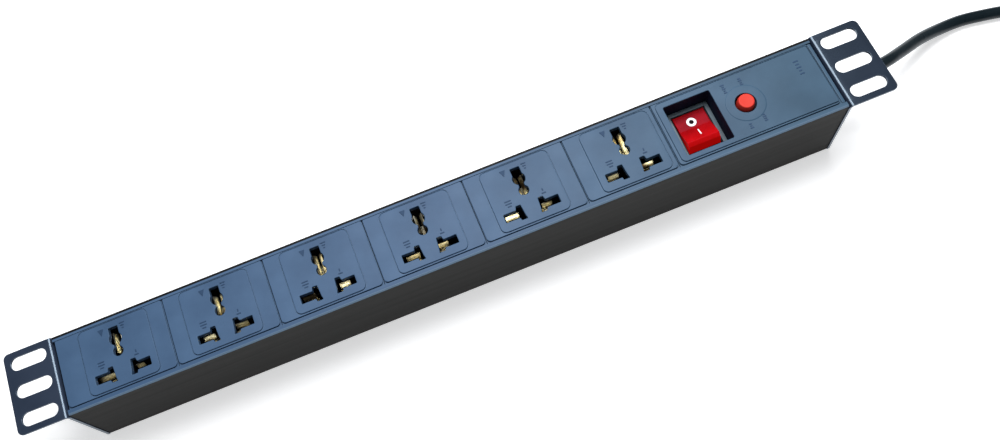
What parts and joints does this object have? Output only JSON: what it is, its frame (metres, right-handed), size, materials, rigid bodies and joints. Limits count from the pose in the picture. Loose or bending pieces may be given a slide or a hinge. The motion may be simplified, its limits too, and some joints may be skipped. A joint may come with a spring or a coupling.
{
  "type": "rack power strip",
  "caption": "Rack-mount power strip: channel with universal 3-pin sockets, rocker switch, reset breaker, slotted end brackets and a cable.",
  "frame": {"origin": "centre of the channel's flat back face", "axes": "+X along the strip towards the cable end, +Y up the face as it sits in a rack, +Z out of the socket face"},
  "size_m": [0.6246, 0.0444, 0.0589],
  "materials": {
    "anodised_aluminium": "satin black anodised",
    "slate_plastic": "fine satin",
    "black_nylon": "moulded",
    "navy_powder_coat": "semi-gloss powder coat",
    "red_lens": "polished, lamp behind",
    "coral_plastic": "satin",
    "brass": "rolled",
    "zinc_steel": "zinc plated",
    "black_pvc": "satin jacket",
    "brown_core": "insulated wire",
    "blue_core": "insulated wire",
    "green_yellow_core": "insulated wire",
    "lamp_glass": "clear"
  },
  "bodies": {
    "strip": {"housing_profile": "anodised_aluminium", "socket_cover_1": "slate_plastic", "socket_cover_2": "slate_plastic", "socket_cover_3": "slate_plastic", "socket_cover_4": "slate_plastic", "socket_cover_5": "slate_plastic", "socket_cover_6": "slate_plastic", "control_cover": "slate_plastic", "socket_tray_1": "black_nylon", "socket_tray_2": "black_nylon", "socket_tray_3": "black_nylon", "socket_tray_4": "black_nylon", "socket_tray_5": "black_nylon", "socket_tray_6": "black_nylon", "switch_housing": "black_nylon", "breaker_case": "black_nylon", "cable_bush": "black_nylon", "end_bracket_left": "navy_powder_coat", "end_bracket_right": "navy_powder_coat", "live_bus_bar": "brass", "neutral_bus_bar": "brass", "earth_bus_bar": "brass", "switch_terminal_in_live": "brass", "switch_terminal_in_neutral": "brass", "switch_terminal_out_live": "brass", "switch_terminal_out_neutral": "brass", "breaker_terminal_line": "brass", "breaker_terminal_load": "brass", "ring_terminal_cable": "brass", "ring_terminal_bus": "brass", "bracket_screw_left_1": "zinc_steel", "bracket_screw_left_2": "zinc_steel", "bracket_screw_left_3": "zinc_steel", "bracket_screw_left_4": "zinc_steel", "bracket_screw_right_1": "zinc_steel", "bracket_screw_right_2": "zinc_steel", "bracket_screw_right_3": "zinc_steel", "bracket_screw_right_4": "zinc_steel", "earth_stud": "zinc_steel", "earth_nut": "zinc_steel", "reset_spring": "zinc_steel", "power_cable": "black_pvc", "core_live": "brown_core", "link_switch_to_breaker": "brown_core", "link_breaker_to_live_bus": "brown_core", "core_neutral": "blue_core", "link_switch_to_neutral_bus": "blue_core", "core_earth": "green_yellow_core", "link_stud_to_earth_bus": "green_yellow_core"},
    "rocker": {"switch_rocker": "red_lens", "plunger_live": "black_nylon", "plunger_neutral": "black_nylon", "plunger_spring_live": "zinc_steel", "plunger_spring_neutral": "zinc_steel", "neon_lamp": "lamp_glass"},
    "lever_live": {"contact_lever_live": "brass"},
    "lever_neutral": {"contact_lever_neutral": "brass"},
    "reset": {"reset_button": "coral_plastic", "breaker_contact": "brass"}
  },
  "joints": [
    {"name": "rocker_hinge", "type": "hinge", "parent": "strip", "child": "rocker", "pos_m": [0.1417, 0.0006, 0.038], "axis": [1, 0, 0], "range_deg": [0, 30.9]},
    {"name": "lever_live_hinge", "type": "hinge", "parent": "strip", "child": "lever_live", "pos_m": [0.1372, 0.0006, 0.0285], "axis": [1, 0, 0], "range_deg": [-12.1, 0.1]},
    {"name": "lever_neutral_hinge", "type": "hinge", "parent": "strip", "child": "lever_neutral", "pos_m": [0.1462, 0.0006, 0.0285], "axis": [1, 0, 0], "range_deg": [-12.1, 0.1]},
    {"name": "reset_slide", "type": "slide", "parent": "strip", "child": "reset", "axis": [0, 0, 1], "range_m": [0, 0.003], "deforming": ["reset_spring"]}
  ],
  "couplings": [
    {"joint": "lever_live_hinge", "follows": "rocker_hinge", "ratio": -0.38835},
    {"joint": "lever_neutral_hinge", "follows": "rocker_hinge", "ratio": -0.38835}
  ]
}
